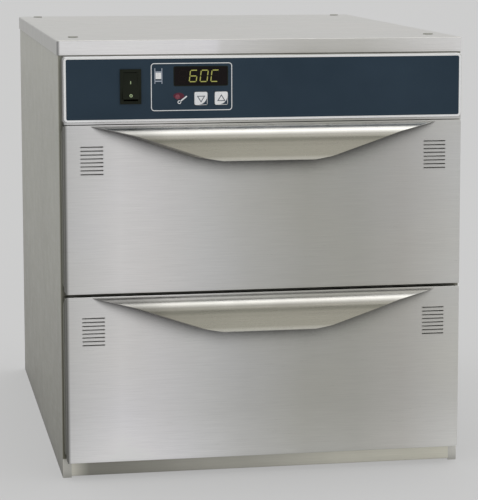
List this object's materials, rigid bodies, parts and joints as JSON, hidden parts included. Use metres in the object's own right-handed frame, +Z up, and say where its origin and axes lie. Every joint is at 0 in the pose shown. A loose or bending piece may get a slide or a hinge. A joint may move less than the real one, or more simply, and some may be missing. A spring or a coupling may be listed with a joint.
{
  "type": "countertop warming drawer",
  "caption": "Narrow stainless countertop food warmer with sliding heated pan drawers, bevelled pull handles and a digital control panel above.",
  "frame": {"origin": "centre of the whole object's footprint, on the surface it stands on", "axes": "+Z up, front of the drawers towards -Y, +X to the right of someone facing the front"},
  "size_m": [0.425, 0.6016, 0.4555],
  "materials": {
    "brushed_case": "vertical-grain brushed stainless",
    "brushed_front": "fine brushed stainless",
    "pan_steel": "satin drawn stainless",
    "liner_steel": "mill-finish stainless",
    "slide_steel": "zinc-bright steel",
    "silicone": "soft grey silicone",
    "mineral_wool": "mineral wool blanket",
    "overlay_film": "dark slate graphic film with a pale border",
    "window_tint": "dark tinted window",
    "black_plastic": "moulded black",
    "button_white": "white keys",
    "lamp_red": "red lens",
    "circuit_board": "green laminate",
    "cable_sheath": "silicone-sheathed heating cable",
    "iron_core": "laminated core",
    "fastener_steel": "bright fastener"
  },
  "bodies": {
    "cabinet": {"top_lid": "brushed_case", "hole_plugs": "black_plastic", "left_side_panel": "brushed_case", "right_side_panel": "brushed_case", "back_panel": "brushed_case", "case_screws": "fastener_steel", "base_pan": "brushed_case", "leg_nuts": "fastener_steel", "front_base_rail": "brushed_case", "front_frame": "brushed_case", "liner_left": "liner_steel", "liner_right": "liner_steel", "liner_top": "liner_steel", "liner_bottom": "liner_steel", "liner_back": "liner_steel", "temperature_probe": "fastener_steel", "side_insulation": "mineral_wool", "top_insulation": "mineral_wool", "bottom_insulation": "mineral_wool", "back_insulation": "mineral_wool", "high_limit_thermostat": "fastener_steel", "heating_cables": "cable_sheath", "slide_rails": "slide_steel", "control_panel": "brushed_front", "panel_overlay": "overlay_film", "display_window": "window_tint", "display_module": "black_plastic", "indicator_lamp": "lamp_red", "control_board": "circuit_board", "rocker_housing": "black_plastic", "controls_shelf": "liner_steel", "power_board": "circuit_board", "transformer": "iron_core", "power_inlet": "black_plastic"},
    "upper_drawer": {"upper_drawer_front": "brushed_front", "upper_drawer_inner_panel": "liner_steel", "upper_front_insulation": "mineral_wool", "upper_drawer_gasket": "silicone", "upper_drawer_handle": "brushed_front", "upper_pan_carrier": "liner_steel", "upper_slide_runners": "slide_steel", "upper_food_pan": "pan_steel"},
    "lower_drawer": {"lower_drawer_front": "brushed_front", "lower_drawer_inner_panel": "liner_steel", "lower_front_insulation": "mineral_wool", "lower_drawer_gasket": "silicone", "lower_drawer_handle": "brushed_front", "lower_pan_carrier": "liner_steel", "lower_slide_runners": "slide_steel", "lower_food_pan": "pan_steel"},
    "upper_slides": {"upper_slide_middles": "slide_steel"},
    "lower_slides": {"lower_slide_middles": "slide_steel"},
    "power_rocker": {"power_rocker": "black_plastic"},
    "up_button": {"up_button": "button_white"},
    "down_button": {"down_button": "button_white"},
    "upper_left_damper": {"upper_left_damper": "liner_steel"},
    "upper_right_damper": {"upper_right_damper": "liner_steel"},
    "lower_left_damper": {"lower_left_damper": "liner_steel"},
    "lower_right_damper": {"lower_right_damper": "liner_steel"}
  },
  "joints": [
    {"name": "upper_drawer_slide", "type": "slide", "parent": "cabinet", "child": "upper_drawer", "axis": [0, -1, 0], "range_m": [0, 0.48]},
    {"name": "upper_slide_extension", "type": "slide", "parent": "cabinet", "child": "upper_slides", "axis": [0, -1, 0], "range_m": [0, 0.24]},
    {"name": "upper_left_damper_lift", "type": "slide", "parent": "upper_drawer", "child": "upper_left_damper", "axis": [0, 0, 1], "range_m": [0, 0.002]},
    {"name": "upper_right_damper_lift", "type": "slide", "parent": "upper_drawer", "child": "upper_right_damper", "axis": [0, 0, 1], "range_m": [0, 0.002]},
    {"name": "lower_drawer_slide", "type": "slide", "parent": "cabinet", "child": "lower_drawer", "axis": [0, -1, 0], "range_m": [0, 0.48]},
    {"name": "lower_slide_extension", "type": "slide", "parent": "cabinet", "child": "lower_slides", "axis": [0, -1, 0], "range_m": [0, 0.24]},
    {"name": "lower_left_damper_lift", "type": "slide", "parent": "lower_drawer", "child": "lower_left_damper", "axis": [0, 0, 1], "range_m": [0, 0.002]},
    {"name": "lower_right_damper_lift", "type": "slide", "parent": "lower_drawer", "child": "lower_right_damper", "axis": [0, 0, 1], "range_m": [0, 0.002]},
    {"name": "power_rocker_tilt", "type": "hinge", "parent": "cabinet", "child": "power_rocker", "pos_m": [-0.1395, -0.2748, 0.408], "axis": [1, 0, 0], "range_deg": [0, 16]},
    {"name": "up_button_press", "type": "slide", "parent": "cabinet", "child": "up_button", "axis": [0, 1, 0], "range_m": [0, 0.0006], "stiffness_N_per_m": 500, "springref_m": -0.001},
    {"name": "down_button_press", "type": "slide", "parent": "cabinet", "child": "down_button", "axis": [0, 1, 0], "range_m": [0, 0.0006], "stiffness_N_per_m": 500, "springref_m": -0.001}
  ],
  "couplings": [
    {"joint": "upper_slide_extension", "follows": "upper_drawer_slide", "ratio": 0.5},
    {"joint": "lower_slide_extension", "follows": "lower_drawer_slide", "ratio": 0.5}
  ]
}
